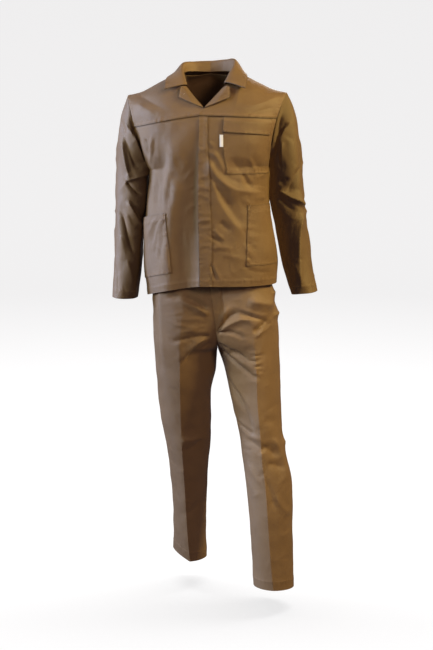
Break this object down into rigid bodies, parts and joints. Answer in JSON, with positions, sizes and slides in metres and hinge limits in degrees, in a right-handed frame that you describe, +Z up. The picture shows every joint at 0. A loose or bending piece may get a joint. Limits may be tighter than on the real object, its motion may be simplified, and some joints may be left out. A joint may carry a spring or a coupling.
{
  "type": "two-piece work suit",
  "caption": "Hip-length work jacket with open collar and patch pockets, and pressed straight trousers, hollow, in a standing pose.",
  "frame": {"origin": "between the shoulders at the height of the neck seam, where the wearer carries the suit", "axes": "+X to the wearer's left, +Y to the wearer's back, +Z up along the standing body"},
  "size_m": [0.6218, 0.3541, 1.5995],
  "materials": {
    "brown_twill": "matt cotton and polyester twill with a slight sheen",
    "white_label": "plain woven tape"
  },
  "bodies": {
    "root": {"jacket_front_left": "brown_twill", "jacket_front_right": "brown_twill", "jacket_yoke_left": "brown_twill", "jacket_yoke_right": "brown_twill", "jacket_back": "brown_twill", "sleeve_left": "brown_twill", "sleeve_right": "brown_twill", "collar": "brown_twill", "lapel_left": "brown_twill", "lapel_right": "brown_twill", "front_placket": "brown_twill", "chest_pocket": "brown_twill", "chest_pocket_flap": "brown_twill", "pocket_label": "white_label", "hip_pocket_left": "brown_twill", "hip_pocket_right": "brown_twill", "trouser_front_left": "brown_twill", "trouser_front_right": "brown_twill", "trouser_back_left": "brown_twill", "trouser_back_right": "brown_twill", "side_pocket_left": "brown_twill", "side_pocket_right": "brown_twill", "trouser_fly": "brown_twill", "waistband": "brown_twill"}
  },
  "joints": []
}
